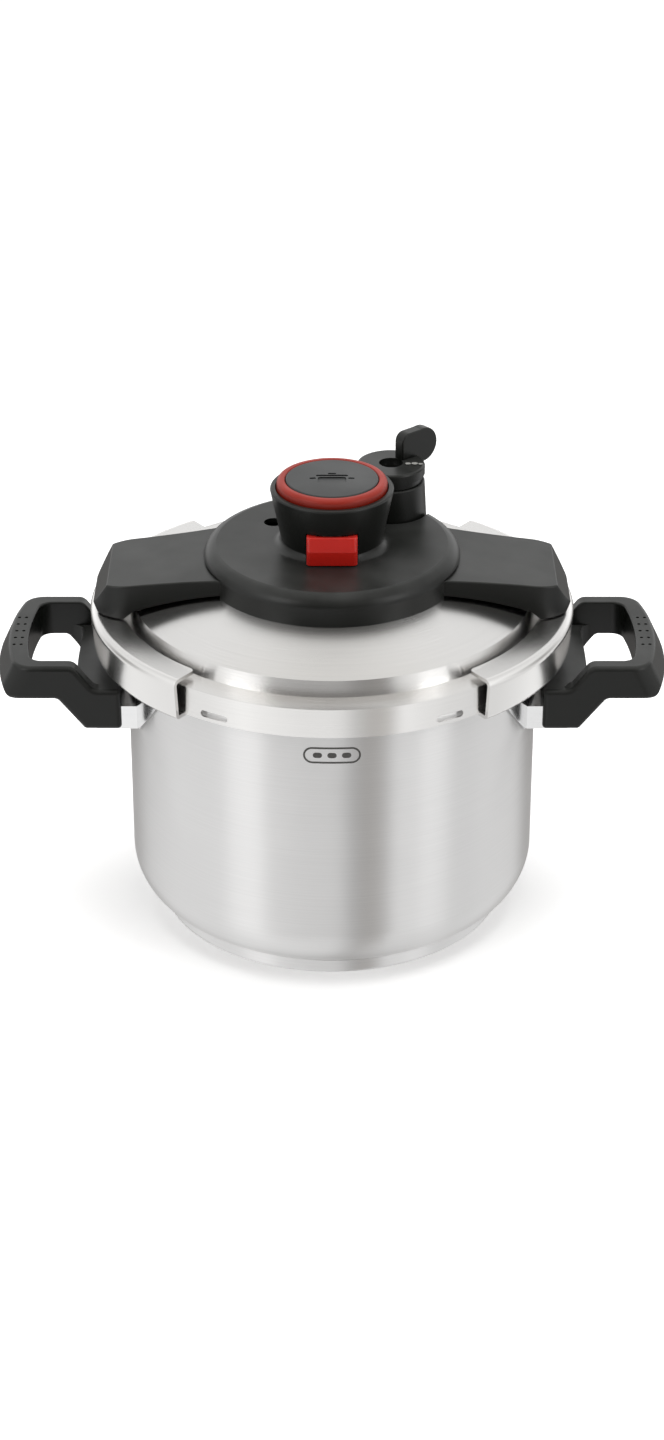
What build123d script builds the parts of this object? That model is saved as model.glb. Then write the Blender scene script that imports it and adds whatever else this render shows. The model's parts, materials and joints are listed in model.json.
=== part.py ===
from build123d import *
import math
import os

os.makedirs("parts", exist_ok=True)

# A 22 cm clamp-type stovetop pressure cooker, in millimetres.
# Origin: centre of the underside. Z is up, the handles lie along X, the red button faces -Y.
# The clamps are drawn closed, just short of hooking under the rim of the pot.

# ---------------------------------------------------------------- driving dimensions
# Pot
pot_radius = 111.0              # outside; 220 mm inside
pot_wall = 1.0
pot_corner = 27.0               # bend between floor and wall, outside
floor_height = 6.0              # underside of the pot's own floor
base_radius = 95.2
base_sheet = 0.8
flange_top = 167.0
flange_radius = 119.5
flange_drop = 159.3             # lower edge of the turned-down rim

# Lid
lid_sheet = 1.2
skirt_radius = 122.5
skirt_bottom = 159.5
rim_top = 175.5
shoulder_radius, shoulder_height = 107.0, 184.0
plateau_radius, plateau_height = 66.0, 195.5
dome_mid_radius, dome_mid_height = 88.0, 190.3
window_length, window_height, window_level = 16.0, 3.6, 163.4
window_angles = (-119.5, -60.5, 60.5, 119.5)

# Clamps
jaw_axis_x = 4.0                # the jaws are curved about verticals this far out from the pot's axis
jaw_half_angle = 52.6
jaw_sheet = 2.0
jaw_top, jaw_bottom = 180.0, 157.0
jaw_top_inner, jaw_top_outer = 109.2, 126.4
jaw_foot_outer, jaw_lip = 124.7, 117.6
clamp_travel_in, clamp_travel_out = 3.2, 10.0
arm_sheet = 2.0
arm_level = 198.3               # underside of the steel arms inside the housing
arm_half_width = 20.0
arm_neck_half_width = 12.0
tongue_half_width = 6.2

# Housing on the lid
housing_radius = 68.8
housing_crease = 62.0
housing_top = 212.0
housing_edge = 205.0            # height where the cover is widest
housing_wall = 2.5
cover_half_width = 34.7
cover_round = 1.0
guide_plate_top = 197.8

# Knob
knob_base, knob_rim = 27.1, 32.8
knob_bore = 25.5
knob_top = 244.2
ring_radius, ring_bore = 29.4, 24.95
ring_bottom, ring_top = 237.5, 248.8
cap_radius = 24.65
plunger_bottom = 231.5
knob_travel_down, knob_travel_up = 1.92, 6.0
jaw_per_knob = clamp_travel_out / knob_travel_up    # jaw travel for each unit of knob travel

# Cam and pins
pin_rest, pin_height, pin_radius = 9.5, 210.0, 1.5
cam_plate_half_thickness = 1.5
cam_slot_radius = 1.58

# Red button
button_half_width = 13.4
button_travel = 3.5

# Steam valve tower
tower_x, tower_y = 32.0, 43.5
tower_base_radius, tower_top_radius = 20.5, 18.5
tower_top = 229.4
dial_bottom, dial_top = 231.0, 239.0
dial_rim_bottom = 233.0         # the dial's rim stands over a groove
dial_hole = 6.5
lever_azimuth = 41.0
lever_reach, lever_end_radius, lever_end_height = 22.0, 9.8, 244.0

# Pressure indicator and safety valve
indicator_x, indicator_y = -31.6, 25.1
safety_x, safety_y = -22.0, 44.0

# Handles
handle_half_width = 44.2
handle_top, grip_bottom, handle_bottom = 158.8, 139.7, 121.7
web_top = 144.9
grip_axis_x = 36.0              # the grip is curved about a vertical axis here
grip_axis = Axis((grip_axis_x, 0, 0), (0, 0, 1))
grip_foot, grip_lean = 202.3, math.radians(64.7)    # outer face: its foot at height 100, and its slope
under_round = 5.0
bracket_bottom, bracket_top = 121.0, 134.5
bracket_sheet = 1.5

# Springs and fasteners
spring_posts_xy = ((15.0, -11.0), (-15.0, 11.0))
housing_screws_xy = ((24.0, -51.0), (-24.0, -51.0), (-42.0, 44.0), (2.0, 57.0))
handle_screws_xy = ((120.0, 22.0), (120.0, -22.0))


# ---------------------------------------------------------------- helpers
def finish(piece, name):
    """Label a finished piece and write it to its own file."""
    piece.label = name
    export_step(piece, f"parts/{name}.step")


def finish_pair(right_piece, name):
    """Write the right-hand piece, and the same piece turned half round for the left."""
    with BuildPart() as left:
        add(right_piece, rotation=(0, 0, 180))
    finish(right_piece, f"{name}_right")
    finish(left.part, f"{name}_left")


def upright(azimuth=0.0, x=0.0, y=0.0):
    """The vertical plane through (x, y) whose horizontal direction has this azimuth."""
    angle = math.radians(azimuth)
    across = (math.cos(angle), math.sin(angle), 0)
    facing = (math.sin(angle), -math.cos(angle), 0)
    return Plane(origin=(x, y, 0), x_dir=across, z_dir=facing)


def turned(outline, x=0.0, y=0.0):
    """A solid of revolution about the vertical through (x, y), from (radius, height) points."""
    with BuildPart() as piece:
        with BuildSketch(upright(0, x, y)):
            with BuildLine():
                Polyline(*outline, close=True)
            make_face()
        revolve(axis=Axis((x, y, 0), (0, 0, 1)))
    return piece.part


def pillar(radius, bottom, top, places, bore=0.0):
    """Upright cylinders, or tubes, at several places."""
    with BuildPart() as piece:
        with BuildSketch(Plane.XY.offset(bottom)):
            with Locations(*places):
                Circle(radius)
                if bore:
                    Circle(bore, mode=Mode.SUBTRACT)
        extrude(amount=top - bottom)
    return piece.part


def coil_spring(coil_radius, wire_radius, start, height, turns, direction=(0, 0, 1)):
    """A compression spring that starts at a point and runs along a direction."""
    with BuildPart() as piece:
        with BuildLine() as path:
            Helix(height / turns, height, coil_radius, center=start, direction=direction)
        with BuildSketch(Plane(origin=path.line @ 0, z_dir=path.line % 0)):
            Circle(wire_radius)
        sweep(is_frenet=True)
    return piece.part


# ---------------------------------------------------------------- pot
rim_start = 162.0               # the turned-out rim is a piece of its own above this height

with BuildPart() as pot_body:
    with BuildSketch(Plane.XZ):
        with BuildLine():
            FilletPolyline(
                (0, floor_height), (pot_radius, floor_height), (pot_radius, rim_start), radius=pot_corner
            )
            offset(amount=pot_wall, side=Side.LEFT)
        make_face()
    revolve(axis=Axis.Z)
finish(pot_body.part, "pot_body")

with BuildPart() as pot_rim:
    with BuildSketch(Plane.XZ):
        with BuildLine():
            FilletPolyline(
                (pot_radius, rim_start),
                (pot_radius, flange_top - pot_wall),
                (flange_radius - pot_wall, flange_top - pot_wall),
                (flange_radius - pot_wall, flange_drop),
                radius=[3.0, 0.6],
            )
            offset(amount=pot_wall, side=Side.LEFT)
        make_face()
    revolve(axis=Axis.Z)
finish(pot_rim.part, "pot_rim")

with BuildPart() as base_core:
    with BuildSketch(Plane.XY.offset(base_sheet)):
        Circle(base_radius - base_sheet)
    extrude(amount=floor_height - base_sheet)
    fillet(base_core.edges().group_by(Axis.Z)[0], 1.2)
finish(base_core.part, "base_core")

with BuildPart() as base_cap:
    with BuildSketch(Plane.XZ):
        with BuildLine():
            FilletPolyline((0, 0), (base_radius, 0), (base_radius, 7.9), radius=2.0)
            offset(amount=base_sheet, side=Side.LEFT)
        make_face()
    revolve(axis=Axis.Z)
finish(base_cap.part, "base_cap")

# ---------------------------------------------------------------- handles and brackets
ear_sheet = 1.4
ear_slope = math.radians(34.5)
ear_top = 147.0
bracket_half_width = 41.6
ear_start_y = bracket_half_width - bracket_sheet
bracket_end = 126.0
bracket_height = bracket_top - bracket_bottom

with BuildPart() as bracket:
    # Ears welded along the wall of the pot
    with BuildSketch(Plane.XY.offset(bracket_bottom)):
        Circle(pot_radius + ear_sheet)
        Circle(pot_radius, mode=Mode.SUBTRACT)
        with BuildLine():
            Polyline(
                (ear_start_y / math.tan(ear_slope), ear_start_y),
                (140, ear_start_y),
                (140 * math.cos(ear_slope), 140 * math.sin(ear_slope)),
                close=True,
            )
        make_face(mode=Mode.INTERSECT)
        mirror(about=Plane.XZ)
    extrude(amount=ear_top - bracket_bottom)
    # Their lower edges rise away from the side plates
    with BuildSketch(Plane.XZ):
        with BuildLine():
            Polyline(
                (104.5, bracket_bottom - 1), (92.0, ear_top - 1), (80, ear_top), (80, bracket_bottom - 1),
                close=True,
            )
        make_face()
    extrude(amount=80, both=True, mode=Mode.SUBTRACT)
    # Side plates that stand out from the wall
    with BuildSketch(Plane.XY.offset(bracket_bottom)):
        with Locations((0, bracket_half_width - bracket_sheet), (0, -bracket_half_width)):
            Rectangle(bracket_end, bracket_sheet, align=(Align.MIN, Align.MIN))
        Circle(pot_radius, mode=Mode.SUBTRACT)
    extrude(amount=bracket_height)
    # Plate across the top
    with BuildSketch(Plane.XY.offset(bracket_top - bracket_sheet)):
        Rectangle(bracket_end, 2 * bracket_half_width, align=(Align.MIN, Align.CENTER))
        Circle(pot_radius, mode=Mode.SUBTRACT)
        with Locations(*handle_screws_xy):
            Circle(2.4, mode=Mode.SUBTRACT)
    extrude(amount=bracket_sheet)
finish_pair(bracket.part, "bracket")

with BuildPart() as handle:
    # Side view: a block at the pot, a rise, and the raised grip
    with BuildSketch(Plane.XZ):
        with BuildLine():
            FilletPolyline(
                (112.6, handle_bottom), (112.6, web_top), (127.0, web_top), (137.6, handle_top),
                (210, handle_top), (210, grip_bottom), (146.5, grip_bottom), (132.2, handle_bottom),
                radius=[2.0, 2.0, 6.0, 6.0, 1.0, 1.0, 4.0, 2.5], close=True,
            )
        make_face()
    extrude(amount=handle_half_width, both=True)
    # The outer face is curved in plan and leans outwards towards the floor
    with BuildSketch(Plane.XZ):
        with BuildLine():
            Polyline(
                (grip_axis_x, 100), (grip_foot, 100),
                (grip_foot - 70 / math.tan(grip_lean), 170), (grip_axis_x, 170),
                close=True,
            )
        make_face()
    revolve(axis=grip_axis, mode=Mode.INTERSECT)
    grip_corners = handle.edges().filter_by(
        lambda e: e.center().X > 150 and abs(abs(e.center().Y) - handle_half_width) < 0.1
        and abs(e.center().Z - (handle_top + grip_bottom) / 2) < 1
    )
    fillet(grip_corners, 11.0)
    # Finger hole, right through
    with BuildSketch(Plane.XY.offset(100)):
        with BuildLine():
            Line((136.4, -34.9), (160.3, -34.9))
            ThreePointArc((160.3, -34.9), (164.0, 0), (160.3, 34.9))
            Line((160.3, 34.9), (136.4, 34.9))
            ThreePointArc((136.4, 34.9), (137.8, 0), (136.4, -34.9))
        hole_face = make_face()
        fillet(hole_face.vertices(), 7.0)
    extrude(amount=100, mode=Mode.SUBTRACT)
    # Room between the two side bars above the web
    with BuildSketch(Plane.XY.offset(web_top)):
        with Locations((110, 0)):
            Rectangle(40, 69.8, align=(Align.MIN, Align.CENTER))
    extrude(amount=30, mode=Mode.SUBTRACT)

    # Rounded edges: the finger hole, then the outline of the grip and its side bars
    hole_rim = handle.faces().filter_by(Axis.Z).sort_by(Axis.Z)[-1].edges().filter_by(
        lambda e: abs(e.center().Y) < 36 and e.center().X < 166
    )
    fillet(hole_rim, 1.0)
    outer_rim = handle.edges().filter_by(
        lambda e: e.center().Z > web_top - 0.1 and e.length > 2
        and (
            abs(abs(e.center().Y) - handle_half_width) < 0.1
            or (abs(e.center().Z - handle_top) < 0.1
                and math.hypot(e.center().X - grip_axis_x, e.center().Y) > 137)
        )
    )
    fillet(outer_rim, 2.6)
    # Rounded outer edge of the grip's underside
    edge_x = grip_foot - (grip_bottom - 100) / math.tan(grip_lean)
    back = under_round / math.tan(grip_lean / 2)
    round_end_z = grip_bottom + back * math.sin(grip_lean)
    with BuildSketch(Plane.XZ):
        with BuildLine():
            Polyline(
                (edge_x - back, grip_bottom), (edge_x - back, grip_bottom - 2), (edge_x + 4, grip_bottom - 2),
                (edge_x + 4, round_end_z), (edge_x - back * math.cos(grip_lean), round_end_z),
                close=True,
            )
        make_face()
        with Locations((edge_x - back, grip_bottom + under_round)):
            Circle(under_round, mode=Mode.SUBTRACT)
    revolve(axis=grip_axis, mode=Mode.SUBTRACT)
    # Pocket for the steel bracket
    with BuildSketch(Plane.XY.offset(handle_bottom)):
        for side in (1, -1):
            with Locations((100, side * (bracket_half_width - bracket_sheet / 2))):
                Rectangle(bracket_end - 100 + 0.2, bracket_sheet + 0.4, align=(Align.MIN, Align.CENTER))
    extrude(amount=bracket_top - handle_bottom + 0.2, mode=Mode.SUBTRACT)
    with BuildSketch(Plane.XY.offset(bracket_top - bracket_sheet - 0.2)):
        with Locations((100, 0)):
            Rectangle(bracket_end - 100 + 0.2, 2 * bracket_half_width, align=(Align.MIN, Align.CENTER))
    extrude(amount=bracket_sheet + 0.4, mode=Mode.SUBTRACT)
    # Screw holes from below
    with BuildSketch(Plane.XY.offset(handle_bottom)):
        with Locations(*handle_screws_xy):
            Circle(5.0)
    extrude(amount=3.5, mode=Mode.SUBTRACT)
    with BuildSketch(Plane.XY.offset(handle_bottom)):
        with Locations(*handle_screws_xy):
            Circle(2.5)
    extrude(amount=17.5, mode=Mode.SUBTRACT)
    # Two rows of five grip dimples
    with BuildSketch(Plane.XY.offset(handle_top - 0.7)):
        with Locations((169.1, 0)):
            with GridLocations(3.8, 8.1, 2, 5):
                Circle(0.9)
    extrude(amount=2, mode=Mode.SUBTRACT)
finish_pair(handle.part, "handle")

with BuildPart() as handle_screws:
    for x, y in handle_screws_xy:
        for side in (1, -1):
            with BuildSketch(upright(0, side * x, y)):
                with BuildLine():
                    Polyline(
                        (0, 122.4), (4.5, 122.4), (4.5, 125.2), (2.4, 125.2), (2.4, 137.5), (0, 138.8),
                        close=True,
                    )
                make_face()
            revolve(axis=Axis((side * x, y, 0), (0, 0, 1)))
            with BuildSketch(Plane(origin=(side * x, y, 122.4))):
                RegularPolygon(2.0, 6)
            extrude(amount=1.6, mode=Mode.SUBTRACT)
finish(handle_screws.part, "handle_screws")

# ---------------------------------------------------------------- lid
lid_holes = (
    # x, y, radius
    (0.0, 0.0, 4.2),
    (tower_x, tower_y, 5.0),
    (safety_x, safety_y, 4.7),
    (indicator_x, indicator_y, 6.2),
)

with BuildPart() as lid_shell:
    with BuildSketch(Plane.XZ):
        with BuildLine() as lid_line:
            Line((0, plateau_height), (plateau_radius, plateau_height))
            ThreePointArc(
                (plateau_radius, plateau_height),
                (dome_mid_radius, dome_mid_height),
                (shoulder_radius, shoulder_height),
            )
            Polyline(
                (shoulder_radius, shoulder_height), (109.0, rim_top), (skirt_radius, rim_top),
                (skirt_radius, skirt_bottom),
            )
            for radius, corner in ((shoulder_radius, 2.5), (109.0, 1.5), (skirt_radius, 2.0)):
                corners = lid_line.vertices().filter_by(lambda v: abs(v.X - radius) < 0.1 and v.Z > 170)
                fillet(corners, corner)
            offset(amount=lid_sheet, side=Side.RIGHT)
        make_face()
    revolve(axis=Axis.Z)
    # Small windows in the skirt
    for azimuth in window_angles:
        out = (math.cos(math.radians(azimuth)), math.sin(math.radians(azimuth)))
        window_plane = Plane(
            origin=(skirt_radius * out[0], skirt_radius * out[1], window_level),
            x_dir=(-out[1], out[0], 0),
            z_dir=(out[0], out[1], 0),
        )
        with BuildSketch(window_plane):
            SlotOverall(window_length, window_height)
        extrude(amount=4, both=True, mode=Mode.SUBTRACT)
    # Holes through the dome
    with BuildSketch(Plane.XY.offset(plateau_height - 5)):
        for x, y, radius in lid_holes:
            with Locations((x, y)):
                Circle(radius)
        with Locations(*housing_screws_xy):
            Circle(2.1)
    extrude(amount=10, mode=Mode.SUBTRACT)
finish(lid_shell.part, "lid_shell")

# What lies under the outer surface of the lid, used to trim the parts that stand on it
with BuildPart() as dome_form:
    with BuildSketch(Plane.XZ):
        with BuildLine():
            Polyline(
                (shoulder_radius, shoulder_height), (shoulder_radius, 150), (0, 150), (0, plateau_height)
            )
            Line((0, plateau_height), (plateau_radius, plateau_height))
            ThreePointArc(
                (plateau_radius, plateau_height),
                (dome_mid_radius, dome_mid_height),
                (shoulder_radius, shoulder_height),
            )
        make_face()
    revolve(axis=Axis.Z)

gasket = turned((
    (110.5, 167.1), (120.4, 167.1), (120.8, 168.0), (120.8, 174.0), (111.5, 174.0), (111.0, 172.2),
    (116.5, 171.6), (116.5, 169.7), (110.5, 168.7),
))
finish(gasket, "gasket")

with BuildPart() as guide_plate:
    with BuildSketch(Plane.XY.offset(plateau_height)):
        Circle(60.0)
        Rectangle(84, 120, mode=Mode.INTERSECT)
        Circle(4.05, mode=Mode.SUBTRACT)
        for place, radius in (
            ((tower_x, tower_y), 21.0), ((safety_x, safety_y), 9.5), ((indicator_x, indicator_y), 8.6)
        ):
            with Locations(place):
                Circle(radius, mode=Mode.SUBTRACT)
        with Locations(*housing_screws_xy):
            Circle(4.6, mode=Mode.SUBTRACT)
    extrude(amount=guide_plate_top - plateau_height)
    with BuildSketch(Plane.XY.offset(plateau_height + 0.7)):
        Circle(7.1)
    extrude(amount=3, mode=Mode.SUBTRACT)
finish(guide_plate.part, "guide_plate")

center_bolt = turned(
    ((0, 186.5), (3.4, 186.5), (4.0, 187.1), (4.0, 196.2), (7.0, 196.2), (7.0, 197.6), (0, 197.6))
)
finish(center_bolt, "center_bolt")

lid_under = plateau_height - lid_sheet

with BuildPart() as center_nut:
    with BuildSketch(Plane.XY.offset(lid_under - 5.5)):
        RegularPolygon(8.0, 6)
        Circle(4.0, mode=Mode.SUBTRACT)
    extrude(amount=5.5)
finish(center_nut.part, "center_nut")

# ---------------------------------------------------------------- housing
with BuildPart() as housing_cover:
    with BuildSketch(Plane.XZ):
        with BuildLine():
            top_line = Line((27.7, housing_top), (housing_crease, housing_top))
            bevel = ThreePointArc(top_line @ 1, (67.0, 209.2), (housing_radius, housing_edge))
            Line(bevel @ 1, (housing_radius, 194.8))
            Line((housing_radius, 194.8), (housing_radius - housing_wall, 194.8))
            inner_side = Line(
                (housing_radius - housing_wall, 194.8), (housing_radius - housing_wall, housing_edge)
            )
            inner_bevel = ThreePointArc(inner_side @ 1, (64.7, 208.0), (61.0, housing_top - housing_wall))
            Line(inner_bevel @ 1, (27.7, housing_top - housing_wall))
            Line((27.7, housing_top - housing_wall), (27.7, housing_top))
        make_face()
    revolve(axis=Axis.Z)
    # Screw bosses
    with BuildSketch(Plane.XY.offset(plateau_height)):
        with Locations(*housing_screws_xy):
            Circle(4.0)
    extrude(amount=housing_top - housing_wall - plateau_height)
    with BuildSketch(Plane.XY.offset(plateau_height - 2)):
        with Locations(*housing_screws_xy):
            Circle(1.65)
    extrude(amount=13, mode=Mode.SUBTRACT)
    # Openings for the two arms
    with BuildSketch(Plane.XY.offset(190)):
        for side in (1, -1):
            with Locations((side * 66, 0)):
                Rectangle(22, 2 * (cover_half_width + 0.7))
    extrude(amount=housing_edge + 0.9 - 190, mode=Mode.SUBTRACT)
    # Room for the valve tower, and the hole above the pressure indicator
    with BuildSketch(Plane.XY.offset(190)):
        with Locations((tower_x, tower_y)):
            Circle(tower_base_radius + 0.7)
        with Locations((indicator_x, indicator_y)):
            Circle(5.2)
    extrude(amount=30, mode=Mode.SUBTRACT)
    add(dome_form.part, mode=Mode.SUBTRACT)
finish(housing_cover.part, "housing_cover")

with BuildPart() as housing_screws:
    for x, y in housing_screws_xy:
        with BuildSketch(upright(0, x, y)):
            with BuildLine():
                Polyline(
                    (0, 191.8), (3.0, 191.8), (3.6, 192.4), (3.6, lid_under), (1.6, lid_under), (1.6, 205),
                    (0, 206), close=True,
                )
            make_face()
        revolve(axis=Axis((x, y, 0), (0, 0, 1)))
finish(housing_screws.part, "housing_screws")

with BuildPart() as knob_body:
    with BuildSketch(Plane.XZ):
        with BuildLine():
            foot = Line((27.4, housing_top), (31.6, housing_top))
            flare = TangentArc(foot @ 1, (knob_base + 0.1, 215.4), tangent=(-1, 0))
            side_line = Line(flare @ 1, (knob_rim, 242.9))
            rim_curve = ThreePointArc(side_line @ 1, (32.5, 243.9), (31.6, knob_top))
            Polyline(
                rim_curve @ 1, (ring_radius + 0.8, knob_top), (ring_radius + 0.4, knob_top - 0.5),
                (ring_radius + 0.4, 235.2), (knob_bore, 234.0), (knob_bore, housing_top - housing_wall),
                (27.4, housing_top - housing_wall), foot @ 0,
            )
        make_face()
    revolve(axis=Axis.Z)
    # Opening for the red button
    with BuildSketch(Plane.XZ):
        with Locations((0, housing_top + 0.3)):
            Rectangle(2 * button_half_width + 0.8, 16.7, align=(Align.CENTER, Align.MIN))
    extrude(amount=40, mode=Mode.SUBTRACT)
finish(knob_body.part, "knob_body")

spring_posts = pillar(2.3, guide_plate_top, 226.0, spring_posts_xy)
with BuildPart() as posts:
    add(spring_posts)
    add(pillar(4.4, guide_plate_top, guide_plate_top + 1.5, spring_posts_xy))
finish(posts.part, "spring_posts")

with BuildPart() as return_springs:
    for x, y in spring_posts_xy:
        add(coil_spring(3.4, 0.6, (x, y, guide_plate_top + 2.2), plunger_bottom - guide_plate_top - 2.9, 8))
finish(return_springs.part, "return_springs")

# ---------------------------------------------------------------- pressing knob
knob_screws_xy = ((16.5, 13.0), (-16.5, -13.0))

with BuildPart() as plunger:
    with BuildSketch(Plane.XY.offset(plunger_bottom)):
        Circle(knob_bore - 0.4)
        with Locations(*knob_screws_xy):
            Circle(1.65, mode=Mode.SUBTRACT)
    extrude(amount=ring_bottom - plunger_bottom)
    # Leg with the tooth that the catch holds
    with BuildSketch(Plane.YZ):
        with BuildLine():
            Polyline(
                (-24.5, plunger_bottom), (-24.5, 211.5), (-21.2, 211.5), (-21.2, 213.2), (-22.5, 214.1),
                (-22.5, plunger_bottom), close=True,
            )
        make_face()
    extrude(amount=5, both=True)
finish(plunger.part, "plunger")

cam_far = jaw_per_knob * knob_travel_up
cam_near = jaw_per_knob * knob_travel_down
slot_length = math.hypot(cam_far + cam_near, knob_travel_up + knob_travel_down)
slot_slope = math.degrees(math.atan2(1, jaw_per_knob))
slot_mid = (pin_rest + (cam_far - cam_near) / 2, pin_height - (knob_travel_up - knob_travel_down) / 2)

with BuildPart() as cam_plate:
    with BuildSketch(Plane.XZ):
        with Locations((0, 200.8)):
            Rectangle(47, plunger_bottom - 200.8, align=(Align.CENTER, Align.MIN))
        for side in (1, -1):
            with Locations((side * slot_mid[0], slot_mid[1])):
                SlotCenterToCenter(
                    slot_length + 0.3, 2 * cam_slot_radius, rotation=-side * slot_slope, mode=Mode.SUBTRACT
                )
        with Locations((0, 222.5)):
            SlotOverall(24, 8, mode=Mode.SUBTRACT)
    extrude(amount=cam_plate_half_thickness, both=True)
finish(cam_plate.part, "cam_plate")

with BuildPart() as knob_ring:
    with BuildSketch(Plane.XZ):
        with BuildLine():
            Polyline(
                (18, ring_bottom), (ring_radius, ring_bottom), (ring_radius, 246.2)
            )
            ring_curve = ThreePointArc(
                (ring_radius, 246.2), (ring_radius - 0.8, 248.1), (ring_radius - 2.7, ring_top)
            )
            Line(ring_curve @ 1, (ring_bore + 0.5, ring_top))
            Polyline(
                (ring_bore + 0.5, ring_top), (ring_bore, ring_top - 0.5), (ring_bore, 240), (18, 240),
                (18, ring_bottom),
            )
        make_face()
    revolve(axis=Axis.Z)
    with BuildSketch(Plane.XY.offset(ring_bottom)):
        with Locations(*knob_screws_xy):
            Circle(1.65)
    extrude(amount=3, mode=Mode.SUBTRACT)
finish(knob_ring.part, "knob_ring")

with BuildPart() as knob_cap:
    with BuildSketch(Plane.XZ):
        with BuildLine():
            Polyline((0, 240.1), (cap_radius, 240.1), (cap_radius, 248.2))
            cap_edge = ThreePointArc((cap_radius, 248.2), (24.35, 248.75), (23.8, 249.0))
            TangentArc((0, 249.5), cap_edge @ 1, tangent=(1, 0))
            Line((0, 249.5), (0, 240.1))
        make_face()
    revolve(axis=Axis.Z)
    # A small picture of a lidded pot, pressed into the top
    with BuildSketch(Plane.XY.offset(248.75)):
        with Locations((0, -3.4)):
            RectangleRounded(15.0, 7.6, 1.6)
        for side in (1, -1):
            with Locations((side * 10.2, -1.2)):
                RectangleRounded(3.4, 1.8, 0.7)
        with Locations((0, 2.3)):
            RectangleRounded(17.0, 1.9, 0.8)
        with Locations((0, 4.8)):
            RectangleRounded(4.4, 1.6, 0.7)
    extrude(amount=2, mode=Mode.SUBTRACT)
    with BuildSketch(Plane.XY.offset(240.1)):
        with Locations(*knob_screws_xy):
            Circle(1.65)
    extrude(amount=5, mode=Mode.SUBTRACT)
finish(knob_cap.part, "knob_cap")

with BuildPart() as plunger_screws:
    for x, y in knob_screws_xy:
        with BuildSketch(upright(0, x, y)):
            with BuildLine():
                Polyline(
                    (0, 230.0), (3.0, 230.0), (3.0, plunger_bottom), (1.6, plunger_bottom), (1.6, 243.5),
                    (0, 244.5), close=True,
                )
            make_face()
        revolve(axis=Axis((x, y, 0), (0, 0, 1)))
finish(plunger_screws.part, "plunger_screws")

# ---------------------------------------------------------------- clamps
rivets_xy = ((119.0, 12.0), (119.0, -12.0))
rivet_tail = jaw_top - jaw_sheet - 0.9

with BuildPart() as jaw:
    with BuildSketch(upright(-jaw_half_angle, jaw_axis_x, 0)):
        with BuildLine():
            FilletPolyline(
                (jaw_top_inner, jaw_top), (jaw_top_outer, jaw_top), (jaw_foot_outer, jaw_bottom),
                (jaw_lip, jaw_bottom),
                radius=[4.0, 2.6],
            )
            offset(amount=jaw_sheet, side=Side.RIGHT)
        make_face()
    revolve(axis=Axis((jaw_axis_x, 0, 0), (0, 0, 1)), revolution_arc=2 * jaw_half_angle)
    inner_corners = jaw.edges().filter_by(Axis.Z).filter_by(
        lambda e: math.hypot(e.center().X - jaw_axis_x, e.center().Y) < jaw_top_inner + 0.5
    )
    fillet(inner_corners, 3.0)
    with BuildSketch(Plane.XY.offset(jaw_top - 4)):
        with Locations(*rivets_xy):
            Circle(1.8)
    extrude(amount=6, mode=Mode.SUBTRACT)
finish_pair(jaw.part, "jaw")

tongue_start = pin_rest - 3.2
pegs_x = (78.0, 98.0)
cover_bottom = jaw_top + 0.8     # lowest edge, just above the jaw
arm_slope = (arm_level - 187.0) / (110.0 - 66.0)
cover_slope = (205.2 - 198.7) / (119.2 - 59.0)

with BuildPart() as arm_form:
    with BuildSketch(Plane.XZ):
        with BuildLine():
            FilletPolyline(
                (tongue_start, arm_level), (66, arm_level), (110, 187), (114.2, jaw_top), (122.5, jaw_top),
                radius=[20.0, 2.0, 2.0],
            )
            offset(amount=arm_sheet, side=Side.LEFT)
        make_face()
    extrude(amount=arm_half_width, both=True)

with BuildPart() as jaw_arm:
    add(arm_form.part)
    # Plan shape: wide at the jaw, a neck between the valves, a tongue under the knob
    with BuildSketch(Plane.XY.offset(170)):
        with BuildLine():
            Polyline(
                (tongue_start, tongue_half_width), (27, tongue_half_width), (33, arm_neck_half_width),
                (50, arm_neck_half_width), (58, arm_half_width), (115, arm_half_width), (122.5, 15),
                (122.5, 0), (tongue_start, 0), close=True,
            )
        make_face()
        mirror(about=Plane.XZ)
    extrude(amount=40, mode=Mode.INTERSECT)
    # Gap that straddles the cam plate
    with BuildSketch(Plane.XY.offset(190)):
        with Locations((0, 0)):
            Rectangle(27.5, 4.2, align=(Align.MIN, Align.CENTER))
    extrude(amount=15, mode=Mode.SUBTRACT)
    # Upturned lugs that carry the cam pin
    for side in (1, -1):
        with BuildSketch(Plane.XZ.offset(side * 3.1)):
            with BuildLine():
                Polyline((pin_rest - 3.2, pin_height), (pin_rest - 3.2, arm_level + 0.5))
                Line((pin_rest - 3.2, arm_level + 0.5), (pin_rest + 3.2, arm_level + 0.5))
                Line((pin_rest + 3.2, arm_level + 0.5), (pin_rest + 3.2, pin_height))
                ThreePointArc(
                    (pin_rest + 3.2, pin_height), (pin_rest, pin_height + 3.2), (pin_rest - 3.2, pin_height)
                )
            make_face()
            with Locations((pin_rest, pin_height)):
                Circle(pin_radius, mode=Mode.SUBTRACT)
        extrude(amount=1.0, both=True)
    # Rivet and peg holes
    with BuildSketch(Plane.XY.offset(170)):
        with Locations(*rivets_xy):
            Circle(1.8)
        for x in pegs_x:
            with Locations((x, 0)):
                Circle(2.3)
    extrude(amount=40, mode=Mode.SUBTRACT)
finish_pair(jaw_arm.part, "jaw_arm")

with BuildPart() as cam_pin:
    with BuildSketch(Plane.XZ):
        with Locations((pin_rest, pin_height)):
            Circle(pin_radius)
    extrude(amount=4.6, both=True)
finish_pair(cam_pin.part, "cam_pin")

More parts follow.
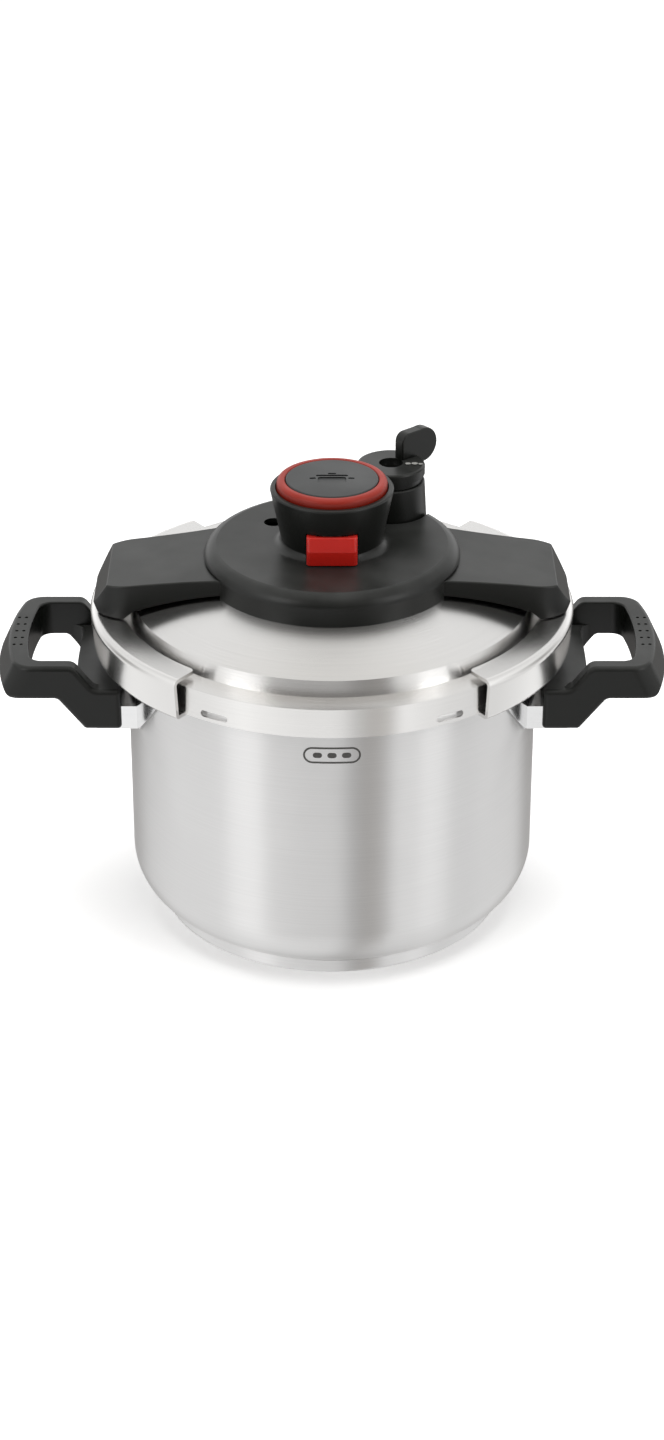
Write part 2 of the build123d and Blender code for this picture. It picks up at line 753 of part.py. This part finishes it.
with BuildPart() as jaw_rivets:
    for x, y in rivets_xy:
        with BuildSketch(upright(0, x, y)):
            with BuildLine():
                Polyline(
                    (0, rivet_tail), (2.6, rivet_tail), (3.0, rivet_tail + 0.4), (3.0, jaw_top - jaw_sheet),
                    (1.8, jaw_top - jaw_sheet), (1.8, jaw_top + arm_sheet), (3.2, jaw_top + arm_sheet),
                    (2.8, jaw_top + arm_sheet + 1.0), (0, jaw_top + arm_sheet + 1.2), close=True,
                )
            make_face()
        revolve(axis=Axis((x, y, 0), (0, 0, 1)))
finish_pair(jaw_rivets.part, "jaw_rivets")


def cover_form(inset):
    """The body of an arm cover, or with an inset the space inside it."""
    half = cover_half_width - inset
    inner_end, outer_end = 46.0 + inset, 127.4 - inset
    top = 205.2 - inset
    with BuildPart() as form:
        with BuildSketch(Plane.XZ):
            with BuildLine():
                under = Line((inner_end, 197.3 - 2 * inset), (59.0, 196.7 - 2 * inset))
                over_dome = ThreePointArc(
                    under @ 1, (82.0, 192.0 - 2 * inset), (105.5, 185.3 - 2 * inset)
                )
                Polyline(
                    over_dome @ 1, (110.5, cover_bottom - 2 * inset), (outer_end - 2.5, cover_bottom - 2 * inset),
                    (outer_end, cover_bottom + 3.5), (119.2 - inset, 198.7 - inset), (59.0, top),
                    (inner_end, top), (inner_end, 197.3 - 2 * inset),
                )
            make_face()
        extrude(amount=half, both=True)
        with BuildSketch(Plane.XY.offset(150)):
            with BuildLine():
                Polyline((inner_end, 0), (inner_end, half), (59.0, half))
                flank = ThreePointArc((59.0, half), (85.0, half - 3.1), (107.0, half - 4.2))
                corner = TangentArc(flank @ 1, (outer_end, half - 19.0), tangent=flank % 1)
                ThreePointArc(corner @ 1, (outer_end + 0.3, half / 4), (outer_end + 0.4, 0))
                mirror(about=Plane.XZ)
            make_face()
        extrude(amount=80, mode=Mode.INTERSECT)
    return form


cover_outside = cover_form(0.0)
cover_inside = cover_form(2.5)

# Track of the tower through the right-hand cover as the clamp slides
with BuildPart() as tower_track:
    with BuildSketch(Plane.XY.offset(180)):
        with Locations((tower_x + clamp_travel_in / 2, tower_y)):
            SlotCenterToCenter(clamp_travel_in + 0.6, 2 * (tower_base_radius + 0.8))
    extrude(amount=40)

with BuildPart() as arm_cover:
    add(cover_outside.part)
    top_rim = arm_cover.edges().filter_by(
        lambda e: e.center().X > 60 and e.center().Z > 190 and e.length > 4
        and not (e.center().Z < 193 and e.center().X < 120) and e.geom_type != GeomType.LINE
    )
    facet_top = arm_cover.edges().filter_by(lambda e: abs(e.center().X - 119.2) < 0.1 and e.length > 40)
    fillet(top_rim + facet_top, cover_round)
    add(cover_inside.part, mode=Mode.SUBTRACT)
    # Bosses that rest on the arm, and pegs that pass through it
    for x in pegs_x:
        arm_under = arm_level - (x - 66.0) * arm_slope
        boss_top = 205.2 - (x - 59.0) * cover_slope - 1.2
        with BuildSketch(Plane.XY.offset(arm_under + 1.5)):
            with Locations((x, 0)):
                Circle(3.5)
        extrude(amount=boss_top - arm_under - 1.5)
    add(arm_form.part, mode=Mode.SUBTRACT)
    for x in pegs_x:
        arm_under = arm_level - (x - 66.0) * arm_slope
        with BuildSketch(Plane.XY.offset(arm_under - 0.3)):
            with Locations((x, 0)):
                Circle(2.0)
        extrude(amount=5)
finish_pair(arm_cover.part, "arm_cover")

# The right-hand cover also clears the valve tower
with BuildPart() as arm_cover_right:
    add(arm_cover.part)
    add(tower_track.part, mode=Mode.SUBTRACT)
finish(arm_cover_right.part, "arm_cover_right")

# ---------------------------------------------------------------- red button and its catch
spring_seat_y = -20.0           # the button's springs end here
button_back = spring_seat_y - button_travel
pocket_half_width = 8.5
pocket_front = -28.4
latch_length = 9.5

with BuildPart() as open_button:
    with BuildSketch(Plane.YZ):
        with BuildLine():
            Polyline(
                (button_back, housing_top + 0.7), (-31.6, housing_top + 0.7), (-32.3, 220.6), (-30.6, 228.2),
                (button_back, 228.2), close=True,
            )
        make_face()
    extrude(amount=button_half_width, both=True)
    upright_corners = open_button.edges().filter_by(
        lambda e: abs(abs(e.center().X) - button_half_width) < 0.1 and e.center().Y < -30.8
        and abs(e.center().Z - housing_top) > 2
    )
    fillet(upright_corners, 2.4)
    front_rim = open_button.edges().filter_by(lambda e: e.center().Y < -29.5 and e.center().Z > 219)
    fillet(front_rim, 1.0)
    with BuildSketch(Plane.XY.offset(housing_top)):
        with Locations((0, pocket_front)):
            Rectangle(2 * pocket_half_width, 10, align=(Align.CENTER, Align.MIN))
    extrude(amount=30, mode=Mode.SUBTRACT)
finish(open_button.part, "open_button")

with BuildPart() as latch_plate:
    with BuildSketch(Plane.XY.offset(214.5)):
        with Locations((0, pocket_front)):
            Rectangle(2 * pocket_half_width - 0.5, latch_length, align=(Align.CENTER, Align.MIN))
            Rectangle(11.2, latch_length - 2.0, align=(Align.CENTER, Align.MIN), mode=Mode.SUBTRACT)
    extrude(amount=1.2)
finish(latch_plate.part, "latch_plate")

with BuildPart() as button_springs:
    for side in (1, -1):
        add(coil_spring(1.6, 0.35, (side * 11.0, button_back + 0.4, 220.0), 3.0, 4, direction=(0, 1, 0)))
finish(button_springs.part, "button_springs")

# ---------------------------------------------------------------- steam valve tower
column_floor = 201.0
column_bore = 12.0

column_form = turned((
    (6.0, 192.0), (tower_base_radius, 192.0), (tower_top_radius, tower_top - 0.6),
    (tower_top_radius - 0.6, tower_top), (column_bore, tower_top), (column_bore, column_floor),
    (6.0, column_floor),
), tower_x, tower_y)
with BuildPart() as valve_column:
    add(column_form)
    add(dome_form.part, mode=Mode.SUBTRACT)
finish(valve_column.part, "valve_column")

steam_tube = turned((
    (1.5, 186.0), (4.9, 186.0), (4.9, column_floor), (9.0, column_floor), (9.0, 203.5), (5.0, 204.5),
    (5.0, 219.0), (3.0, 222.0), (1.5, 222.0),
), tower_x, tower_y)
finish(steam_tube, "steam_tube")

with BuildPart() as steam_tube_nut:
    with BuildSketch(Plane.XY.offset(lid_under - 5)):
        with Locations((tower_x, tower_y)):
            RegularPolygon(9.0, 6)
            Circle(4.95, mode=Mode.SUBTRACT)
    extrude(amount=5)
finish(steam_tube_nut.part, "steam_tube_nut")

valve_weight = turned((
    (0, 222.3), (2.5, 222.3), (8.2, 222.8), (8.2, 224.2), (5.6, 224.2), (5.6, 233.4), (5.0, 234.0), (0, 234.0),
), tower_x, tower_y)
finish(valve_weight, "valve_weight")

valve_spring = coil_spring(7.4, 0.4, (tower_x, tower_y, 224.8), dial_bottom - 225.5, 4)
finish(valve_spring, "valve_spring")

dial_form = turned((
    (dial_hole, dial_top), (dial_hole, dial_bottom), (9.0, dial_bottom), (9.0, 225.0), (11.5, 225.0),
    (11.5, 229.8), (16.9, 229.8), (16.9, dial_rim_bottom), (tower_top_radius, dial_rim_bottom + 0.4),
    (tower_top_radius, dial_top - 1.2), (tower_top_radius - 0.4, dial_top - 0.4),
    (tower_top_radius - 1.2, dial_top),
), tower_x, tower_y)
lever_plane = upright(lever_azimuth, tower_x, tower_y)
lever_half_thickness = 3.3
with BuildPart() as valve_dial:
    add(dial_form)
    # Three raised setting dots beside the lever
    for radius, azimuth in ((9.9, -20), (13.0, 2), (16.0, -4)):
        angle = math.radians(azimuth)
        with BuildSketch(Plane.XY.offset(dial_top - 0.2)):
            with Locations((tower_x + radius * math.cos(angle), tower_y + radius * math.sin(angle))):
                Circle(1.1)
        extrude(amount=0.7, taper=20)
finish(valve_dial.part, "valve_dial")

with BuildPart() as selector_lever:
    with BuildSketch(lever_plane.offset(-0.9)):
        with Locations((lever_reach, lever_end_height)):
            Circle(lever_end_radius)
        with Locations((6.5, dial_top)):
            Rectangle(
                lever_reach - 6.5, lever_end_height + lever_end_radius - 0.2 - dial_top,
                align=(Align.MIN, Align.MIN),
            )
    extrude(amount=lever_half_thickness, both=True)
    inner_top = selector_lever.edges().filter_by(
        lambda e: abs(e.length - 2 * lever_half_thickness) < 0.1 and e.center().Z > 250
    ).sort_by(Axis.X)[0]
    fillet(inner_top, 5.0)
    fillet(selector_lever.faces().filter_by(lambda f: f.area > 300).edges(), 0.8)
    # Trim what lies within the dial
    with BuildSketch(Plane.XY.offset(dial_top)):
        with Locations((tower_x, tower_y)):
            Circle(tower_top_radius + 0.3)
    extrude(amount=-12, mode=Mode.SUBTRACT)
finish(selector_lever.part, "selector_lever")

# ---------------------------------------------------------------- safety valve
safety_body = turned((
    (1.6, 185.5), (4.6, 185.5), (4.6, plateau_height), (7.5, plateau_height), (7.5, 206.5), (7.0, 207.0),
    (5.0, 207.0), (5.0, 197.0), (1.6, 197.0),
), safety_x, safety_y)
finish(safety_body, "safety_valve_body")

safety_cap = turned(((1.6, 205.4), (4.95, 205.4), (4.95, 207.0), (1.6, 207.0)), safety_x, safety_y)
finish(safety_cap, "safety_valve_cap")

safety_piston = turned((
    (0, 197.1), (4.6, 197.1), (4.6, 199.0), (1.1, 199.0), (1.1, 204.6), (0, 205.0),
), safety_x, safety_y)
finish(safety_piston, "safety_valve_piston")

safety_spring = coil_spring(3.2, 0.4, (safety_x, safety_y, 199.5), 5.4, 4)
finish(safety_spring, "safety_valve_spring")

with BuildPart() as safety_nut:
    with BuildSketch(Plane.XY.offset(lid_under - 4.5)):
        with Locations((safety_x, safety_y)):
            RegularPolygon(8.0, 6)
            Circle(4.65, mode=Mode.SUBTRACT)
    extrude(amount=4.5)
finish(safety_nut.part, "safety_valve_nut")

# ---------------------------------------------------------------- pressure indicator
indicator_stem = 2.0
indicator_seal = turned((
    (indicator_stem + 0.08, 192.8), (8.0, 192.8), (8.0, lid_under), (6.2, lid_under), (6.2, plateau_height),
    (8.0, plateau_height), (8.0, 197.0), (indicator_stem + 0.08, 197.0),
), indicator_x, indicator_y)
finish(indicator_seal, "indicator_seal")

indicator_pin = turned((
    (0, 185.8), (1.5, 185.8), (indicator_stem, 186.3), (indicator_stem, 199.6), (4.2, 199.6), (4.2, 207.2),
    (3.6, 207.8), (0, 207.8),
), indicator_x, indicator_y)
finish(indicator_pin, "pressure_indicator")

indicator_clip = pillar(3.5, 186.6, 187.8, ((indicator_x, indicator_y),), bore=indicator_stem)
finish(indicator_clip, "indicator_clip")
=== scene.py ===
import bmesh
import bpy
import json
import math
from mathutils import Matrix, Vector


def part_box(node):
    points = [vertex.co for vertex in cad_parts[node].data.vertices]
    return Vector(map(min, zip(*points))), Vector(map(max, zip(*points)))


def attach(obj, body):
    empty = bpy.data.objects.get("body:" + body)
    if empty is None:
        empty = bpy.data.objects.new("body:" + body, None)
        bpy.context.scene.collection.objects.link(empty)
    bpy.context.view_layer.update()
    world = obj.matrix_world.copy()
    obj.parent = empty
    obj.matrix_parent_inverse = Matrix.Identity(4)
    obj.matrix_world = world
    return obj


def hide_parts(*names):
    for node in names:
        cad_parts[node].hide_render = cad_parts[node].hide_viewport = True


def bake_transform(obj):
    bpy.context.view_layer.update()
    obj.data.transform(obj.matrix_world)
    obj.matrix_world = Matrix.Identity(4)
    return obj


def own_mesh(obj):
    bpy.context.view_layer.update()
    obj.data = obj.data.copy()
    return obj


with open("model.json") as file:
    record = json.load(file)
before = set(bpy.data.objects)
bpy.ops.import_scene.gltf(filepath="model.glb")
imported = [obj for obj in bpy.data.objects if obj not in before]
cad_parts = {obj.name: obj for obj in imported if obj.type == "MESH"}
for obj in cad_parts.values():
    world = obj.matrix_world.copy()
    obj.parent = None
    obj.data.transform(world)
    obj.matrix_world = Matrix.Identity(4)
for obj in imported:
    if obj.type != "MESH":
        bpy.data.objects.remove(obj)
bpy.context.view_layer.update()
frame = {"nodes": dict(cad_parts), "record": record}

NODES = frame["nodes"]


# ------------------------------------------------------------------ node helpers
class Graph:
    """A small wrapper that adds nodes to one node tree and links them in a line of code."""

    def __init__(self, tree):
        self.tree = tree

    def node(self, kind, settings=(), **inputs):
        made = self.tree.nodes.new(kind)
        for key, value in dict(settings).items():
            setattr(made, key, value)
        for key, value in inputs.items():
            self.feed(made, key, value)
        return made

    def feed(self, node, key, value):
        """Sets a socket to a value, or links an output to it. The key is its name, or i and its number."""
        by_number = key[0] == "i" and key[1:].isdigit()
        socket = node.inputs[int(key[1:])] if by_number else node.inputs[key.replace("_", " ")]
        if isinstance(value, bpy.types.NodeSocket):
            self.tree.links.new(value, socket)
        else:
            socket.default_value = value

    def math(self, operation, a, b=0.0):
        """One operation on two numbers or outputs."""
        return self.node("ShaderNodeMath", {"operation": operation}, i0=a, i1=b).outputs[0]

    def noise(self, vector, scale, detail=2.0, roughness=0.5, distortion=0.0):
        """Smooth noise from 0 to 1, with that many waves to a metre."""
        return self.node(
            "ShaderNodeTexNoise", Vector=vector, Scale=scale, Detail=detail, Roughness=roughness,
            Distortion=distortion,
        ).outputs["Fac"]

    def remap(self, value, low, high, start=0.0, end=1.0):
        """Turns start..end into low..high."""
        return self.node(
            "ShaderNodeMapRange", Value=value, From_Min=start, From_Max=end, To_Min=low, To_Max=high
        ).outputs["Result"]

    def ramp(self, value, *stops):
        """A colour ramp from (position, colour) stops."""
        made = self.node("ShaderNodeValToRGB", Fac=value)
        ramp = made.color_ramp
        while len(ramp.elements) < len(stops):
            ramp.elements.new(0.5)
        for element, (position, colour) in zip(ramp.elements, stops):
            element.position = position
            element.color = (*colour, 1.0)
        return made.outputs["Color"]

    def mix(self, factor, a, b):
        """Colour a where the factor is 0, and b where it is 1."""
        made = self.node("ShaderNodeMix", {"data_type": "RGBA"}, i0=factor)
        self.feed(made, "i6", a)
        self.feed(made, "i7", b)
        return made.outputs[2]


class Shader(Graph):
    """The node tree of one material, round its Principled shader."""

    def __init__(self, name):
        self.material = bpy.data.materials.new(name)
        self.material.use_nodes = True
        super().__init__(self.material.node_tree)
        self.bsdf = self.tree.nodes["Principled BSDF"]

    def set(self, **values):
        """Even values, set straight on the Principled shader's own sockets."""
        for key, value in values.items():
            self.bsdf.inputs[key.replace("_", " ")].default_value = value

    def place(self):
        """The point's own place, in metres. It moves with its body."""
        return self.node("ShaderNodeTexCoord").outputs["Object"]

    def bump(self, height, distance, strength):
        """The surface's normal with a relief of that height in metres."""
        made = self.node("ShaderNodeBump", Height=height, Distance=distance, Strength=strength)
        return made.outputs["Normal"]

    def ring_place(self, across):
        """Coordinates that run slowly round the vertical axis, and quickly along it and outwards."""
        split = self.node("ShaderNodeSeparateXYZ", Vector=self.place())
        x, y, z = split.outputs
        squares = self.math("ADD", self.math("MULTIPLY", x, x), self.math("MULTIPLY", y, y))
        radius = self.math("SQRT", squares)
        safe = self.math("MAXIMUM", radius, 0.001)
        return self.node(
            "ShaderNodeCombineXYZ",
            X=self.math("DIVIDE", x, safe),
            Y=self.math("DIVIDE", y, safe),
            Z=self.math("MULTIPLY", self.math("ADD", z, radius), across),
        ).outputs[0]


# ------------------------------------------------------------------ materials
STEEL_SPREAD = 0.06                          # how far a steel's roughness varies either way
LID_STEEL = (0.86, 0.85, 0.835)
BLACK = (0.0050, 0.0056, 0.0046)


def steel(name, colour, roughness, anisotropy=0.0, lines="ring", line_depth=0.000002, worn=0.05):
    """Metal with fine brushing, in rings about the axis, or stretched as three scales say."""
    s = Shader(name)
    if lines == "ring":
        fine = s.noise(s.ring_place(1500.0), 1.6, detail=3.0, roughness=0.65)
        coarse = s.noise(s.ring_place(60.0), 1.1, detail=2.0)
    else:
        stretch = s.node("ShaderNodeMapping", Vector=s.place(), Scale=lines).outputs[0]
        fine = s.noise(stretch, 1.0, detail=3.0, roughness=0.7)
        coarse = s.noise(s.place(), 60.0, detail=2.0)
    smudge = s.noise(s.place(), 26.0, detail=4.0, roughness=0.6, distortion=0.4)
    darker = tuple(c * (1 - worn) for c in colour)
    s.feed(s.bsdf, "Base Color", s.ramp(fine, (0.3, darker), (0.7, colour)))
    blend = s.math("ADD", s.math("MULTIPLY", fine, 0.35), s.math("MULTIPLY", smudge, 0.45))
    blend = s.math("ADD", blend, s.math("MULTIPLY", coarse, 0.2))
    s.feed(s.bsdf, "Roughness", s.remap(blend, roughness - STEEL_SPREAD, roughness + STEEL_SPREAD))
    s.set(Metallic=1.0)
    if anisotropy:
        s.set(Anisotropic=anisotropy, Anisotropic_Rotation=0.25)
        tangent = s.node("ShaderNodeTangent", {"direction_type": "RADIAL", "axis": "Z"})
        s.feed(s.bsdf, "Tangent", tangent.outputs[0])
    if line_depth:
        s.feed(s.bsdf, "Normal", s.bump(fine, line_depth, 0.5))
    return s.material


def moulding(name, colour, roughness, grain=0.000016, grain_scale=2600.0, gloss=0.5):
    """Moulded plastic: a fine spark-eroded grain, slow gloss variation, and on top a trace of dust that also
    paints the upward faces lighter, as light from above would.
    """
    s = Shader(name)
    fine = s.noise(s.place(), grain_scale, detail=2.0, roughness=0.6)
    slow = s.noise(s.place(), 35.0, detail=3.0)
    normal = s.node("ShaderNodeNewGeometry").outputs["Normal"]
    up = s.node("ShaderNodeSeparateXYZ", Vector=normal).outputs[2]
    # Painted light and dust: faces that look up get a lighter colour, partly dust and partly a painted
    # highlight from above.
    dust_and_painted_top_light = s.math("MULTIPLY", s.math("MAXIMUM", up, 0.0), s.remap(slow, 0.2, 1.0, 0.35, 0.75))
    lighter = tuple(min(1.0, c * 1.3 + 0.022) for c in colour)
    s.feed(s.bsdf, "Base Color", s.ramp(dust_and_painted_top_light, (0.0, colour), (1.0, lighter)))
    mix = s.math("ADD", s.math("MULTIPLY", fine, 0.5), s.math("MULTIPLY", slow, 0.5))
    s.feed(s.bsdf, "Roughness", s.remap(mix, roughness - 0.07, roughness + 0.08))
    s.set(IOR=1.5, Specular_IOR_Level=gloss)
    s.feed(s.bsdf, "Normal", s.bump(fine, grain, 0.5))
    return s.material


def etched(name, colour):
    """A dark etched or printed mark, slightly uneven."""
    s = Shader(name)
    patchy = s.noise(s.place(), 900.0, detail=3.0, roughness=0.6)
    lighter = tuple(c * 1.5 for c in colour)
    s.feed(s.bsdf, "Base Color", s.ramp(patchy, (0.35, colour), (0.75, lighter)))
    s.feed(s.bsdf, "Roughness", s.remap(patchy, 0.5, 0.75))
    s.feed(s.bsdf, "Normal", s.bump(patchy, 0.00001, 0.4))
    return s.material


MATERIALS = {
    "brushed_pot": steel("pot steel", (0.82, 0.815, 0.81), 0.32, anisotropy=1.0, line_depth=0.0),
    "polished_lid": steel("lid steel", LID_STEEL, 0.26, anisotropy=0.88, line_depth=0.0),
    "clamp_steel": steel("clamp steel", LID_STEEL, 0.24, anisotropy=0.5, line_depth=0.0, worn=0.03),
    "bright_steel": steel("bright steel", (0.86, 0.86, 0.86), 0.18, lines=(60, 60, 900)),
    "aluminium_core": steel("core aluminium", (0.78, 0.78, 0.79), 0.38),
    "zinc_fastener": steel("plated steel", (0.62, 0.62, 0.60), 0.32, lines=(300, 300, 300)),
    "spring_steel": steel("spring steel", (0.50, 0.49, 0.48), 0.30, lines=(500, 500, 80)),
    "black_phenolic": moulding("black phenolic", BLACK, 0.33, gloss=0.33),
    "black_housing": moulding("black housing", BLACK, 0.33, gloss=0.35),
    "cap_grey": moulding("cap grey", (0.019, 0.020, 0.020), 0.44, gloss=0.4),
    "ring_red": moulding("ring red", (0.20, 0.010, 0.003), 0.38, gloss=0.28),
    "button_red": moulding("button red", (0.47, 0.012, 0.007), 0.24, grain=0.000004, gloss=0.4),
    "inner_nylon": moulding("natural nylon", (0.52, 0.51, 0.47), 0.45),
    "grey_silicone": moulding("grey silicone", (0.28, 0.29, 0.30), 0.55, grain_scale=1400.0),
}


# ------------------------------------------------------------------ CAD nodes
def dress_nodes():
    """Gives every CAD node the material of its slot."""
    for row in frame["record"]["subparts"]:
        node = NODES[row["node"]]
        material = MATERIALS[row["material_slot"]]
        if not node.material_slots:
            node.data.materials.append(material)
        for slot in node.material_slots:
            slot.material = material


# ------------------------------------------------------------------ marks
def capsule(half_length, radius, count=14):
    """Points round a capsule along the first axis, its straight runs divided so that they can bend."""
    points = []
    for side in (1, -1):
        for step in range(count + 1):
            angle = math.radians(-90 + 180 * step / count) + (0 if side > 0 else math.pi)
            points.append((side * half_length + radius * math.cos(angle), radius * math.sin(angle)))
        for step in range(1, count):
            points.append((side * half_length * (1 - 2 * step / count), side * radius))
    return points


def add_mark(name, body, material, shapes, lay):
    """A thin mark. A shape is an outer outline and an inner one or None; lay puts (u, v, depth) in space."""
    mesh = bmesh.new()
    for outer, inner in shapes:
        top = [mesh.verts.new(lay(u, v, 1)) for u, v in outer]
        foot = [mesh.verts.new(lay(u, v, 0)) for u, v in outer]
        count = len(top)
        for i in range(count):
            j = (i + 1) % count
            mesh.faces.new((foot[i], foot[j], top[j], top[i]))
        if inner is None:
            mesh.faces.new(top)
            mesh.faces.new(foot[::-1])
            continue
        top_in = [mesh.verts.new(lay(u, v, 1)) for u, v in inner]
        foot_in = [mesh.verts.new(lay(u, v, 0)) for u, v in inner]
        for i in range(count):
            j = (i + 1) % count
            mesh.faces.new((top[i], top[j], top_in[j], top_in[i]))
            mesh.faces.new((foot[j], foot[i], foot_in[i], foot_in[j]))
            mesh.faces.new((foot_in[j], foot_in[i], top_in[i], top_in[j]))
    data = bpy.data.meshes.new(name)
    mesh.to_mesh(data)
    mesh.free()
    mark = bpy.data.objects.new(name, data)
    bpy.context.collection.objects.link(mark)
    data.materials.append(material)
    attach(mark, body)


def moved(points, u, v):
    """The same outline, further along by u and v."""
    return [(a + u, b + v) for a, b in points]


def add_pot_mark():
    """A small etched badge on the front of the pot: a rounded frame round three dots."""
    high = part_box("pot_body")[1]
    wall = high[0]
    level = high[2] - 0.019
    sunk, thickness = 0.00015, 0.0002
    half_width, frame_outside, frame_inside = 0.0102, 0.0047, 0.0037
    dot_spacing = 0.0075

    def lay(u, v, depth):
        angle = u / wall
        radius = wall - sunk + thickness * depth
        return (radius * math.sin(angle), -radius * math.cos(angle), level + v)

    frame_line = (capsule(half_width, frame_outside), capsule(half_width, frame_inside))
    dots = [(moved(capsule(0.0009, 0.0015), u, 0), None) for u in (-dot_spacing, 0.0, dot_spacing)]
    material = etched("etched steel", (0.045, 0.043, 0.04))
    add_mark("pot_badge", "pot", material, [frame_line, *dots], lay)


def add_dial_dots():
    """Three small printed dots on the dial, beside the lever."""
    low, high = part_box("valve_dial")
    middle = ((low[0] + high[0]) / 2, (low[1] + high[1]) / 2)
    sunk, thickness = 0.0001, 0.00016

    def lay(u, v, depth):
        return (middle[0] + u, middle[1] + v, high[2] - sunk + thickness * depth)

    # Each dot's place from the dial's middle, and its radius
    spots = ((0.0092, -0.0024, 0.0012), (0.0128, -0.0022, 0.0014), (0.0160, -0.0028, 0.0009))
    dots = [(moved(capsule(0.0003, size), u, v), None) for u, v, size in spots]
    add_mark("dial_dots", "selector", etched("pale print", (0.19, 0.19, 0.18)), dots, lay)


# ------------------------------------------------------------------ springs
def spring_copy(name):
    """A piece that stands for a CAD spring, and the corners of its box."""
    coils = bpy.data.objects.new(name + "_coils", NODES[name].data.copy())
    bpy.context.collection.objects.link(coils)
    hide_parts(name)
    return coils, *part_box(name)


def add_valve_spring(name):
    """A copy of the spring that rides on the lid, with a mesh of its own."""
    coils, low, high = spring_copy(name)
    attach(coils, "lid")
    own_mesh(coils)


def add_return_springs():
    """A copy of the return springs, its placing baked into its mesh."""
    coils, low, high = spring_copy("return_springs")
    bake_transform(coils)


dress_nodes()
add_pot_mark()
add_dial_dots()
add_return_springs()
add_valve_spring("valve_spring")
add_valve_spring("safety_valve_spring")


# ------------------------------------------------------------------ stage, light and camera
def make_floor():
    """A wide floor of an even, very pale colour, which shows only soft shadows."""
    bpy.ops.mesh.primitive_circle_add(vertices=128, radius=14.0, fill_type="NGON")
    floor = bpy.context.object
    floor.name = "floor"
    s = Shader("pale floor")
    speck = s.noise(s.place(), 6.0, detail=2.0)
    s.feed(s.bsdf, "Base Color", s.ramp(speck, (0.3, (0.95, 0.95, 0.95)), (0.7, (0.965, 0.965, 0.965))))
    s.set(Roughness=0.8, Specular_IOR_Level=0.0)
    s.set(Emission_Color=(1.0, 1.0, 1.0, 1.0), Emission_Strength=0.18)
    floor.data.materials.append(s.material)
    floor.visible_glossy = False    # the steel reflects the studio's lower half instead


# Brightness of the studio by direction: degrees from the front of the cooker, positive to its right.
# The pot's wall and the lid's skirt reflect what is below the horizon, the lid's shoulder what is on it, and
# the tops what is above it.
BELOW = (
    (-180, 0.20), (-152, 0.28), (-142, 0.40), (-132, 0.70), (-122, 1.00), (-84, 0.89), (-62, 0.90),
    (-52, 1.00), (-45, 1.12), (-38, 1.08), (-28, 1.05), (-14, 1.00), (0, 1.00), (6, 0.93),
    (12, 0.68), (20, 0.55), (28, 0.58), (32, 0.80), (35, 1.08), (46, 0.93), (62, 0.77),
    (82, 0.76), (104, 0.90), (122, 1.10), (130, 0.74), (138, 0.44), (148, 0.30), (180, 0.20),
)
HORIZON = (
    (-180, 1.10), (-150, 1.25), (-128, 0.80), (-108, 0.28), (-90, 0.88), (-50, 0.98), (-42, 0.66),
    (-34, 0.16), (-14, 0.12), (0, 0.14), (18, 0.10), (30, 0.15), (38, 0.75), (48, 0.95),
    (88, 0.88), (108, 0.30), (128, 0.80), (150, 1.25), (180, 1.10),
)
ABOVE = (
    (-180, 0.76), (-166, 0.98), (-140, 0.80), (-110, 0.90), (-66, 1.00), (-40, 0.50), (0, 0.32),
    (40, 0.50), (66, 1.00), (110, 0.90), (140, 0.78), (166, 0.98), (180, 0.76),
)


def make_world():
    """A studio of three rings of walls, which blend into each other, under an even ceiling."""
    world = bpy.data.worlds.new("studio")
    bpy.context.scene.world = world
    world.use_nodes = True
    g = Graph(world.node_tree)
    direction = g.node("ShaderNodeTexCoord").outputs["Generated"]
    x, y, z = g.node("ShaderNodeSeparateXYZ", Vector=direction).outputs
    azimuth = g.math("ARCTAN2", x, g.math("MULTIPLY", y, -1.0))
    around = g.remap(azimuth, 0.0, 1.0, -math.pi, math.pi)

    def walls(stops):
        """One ring of walls, its dark parts a little warmer."""
        tinted = []
        for degrees, bright in stops:
            warm = 0.97 if bright < 0.65 else 1.0
            tinted.append(((degrees + 180) / 360, (bright, bright * warm, bright * warm * warm)))
        return g.ramp(around, *tinted)

    def rise(start, end):
        """From 0 to 1 between two elevations in degrees."""
        return g.remap(z, 0.0, 1.0, math.sin(math.radians(start)), math.sin(math.radians(end)))

    colour = g.mix(rise(-9, -2), walls(BELOW), walls(HORIZON))
    colour = g.mix(rise(16, 25), colour, walls(ABOVE))
    colour = g.mix(rise(50, 70), colour, (0.80, 0.79, 0.77, 1.0))
    background = world.node_tree.nodes["Background"]
    g.feed(background, "Color", colour)
    g.feed(background, "Strength", 1.0)


def make_panel(name, place, size, power, seen=True):
    """A softbox aimed at the cooker, seen in reflections or not."""
    data = bpy.data.lights.new(name, "AREA")
    data.shape = "RECTANGLE"
    data.size, data.size_y = size
    data.energy = power
    lamp = bpy.data.objects.new(name, data)
    bpy.context.collection.objects.link(lamp)
    lamp.location = place
    towards = Vector((0, 0, 0.12)) - Vector(place)
    lamp.rotation_euler = towards.to_track_quat("-Z", "Y").to_euler()
    lamp.visible_glossy = seen


def make_camera():
    """Straight in front, looking down on the lid."""
    distance = 1.628
    elevation = math.radians(28.41)
    look_at = Vector((0, 0, 0.1037))
    data = bpy.data.cameras.new("camera")
    data.lens = 73.8
    camera = bpy.data.objects.new("camera", data)
    bpy.context.collection.objects.link(camera)
    away = Vector((0, -math.cos(elevation), math.sin(elevation)))
    camera.location = look_at + distance * away
    camera.rotation_euler = (-away).to_track_quat("-Z", "Y").to_euler()
    bpy.context.scene.camera = camera


make_floor()
make_world()
make_panel("overhead", (0.1, 0.1, 1.6), (1.4, 1.4), 20, seen=False)
make_panel("left", (-1.25, -1.15, 1.0), (0.7, 0.9), 4)
make_panel("right", (1.35, -0.9, 0.9), (0.5, 0.9), 3)
make_camera()
bpy.context.scene.view_settings.view_transform = "Standard"    # keeps the floor white

bpy.context.view_layer.update()
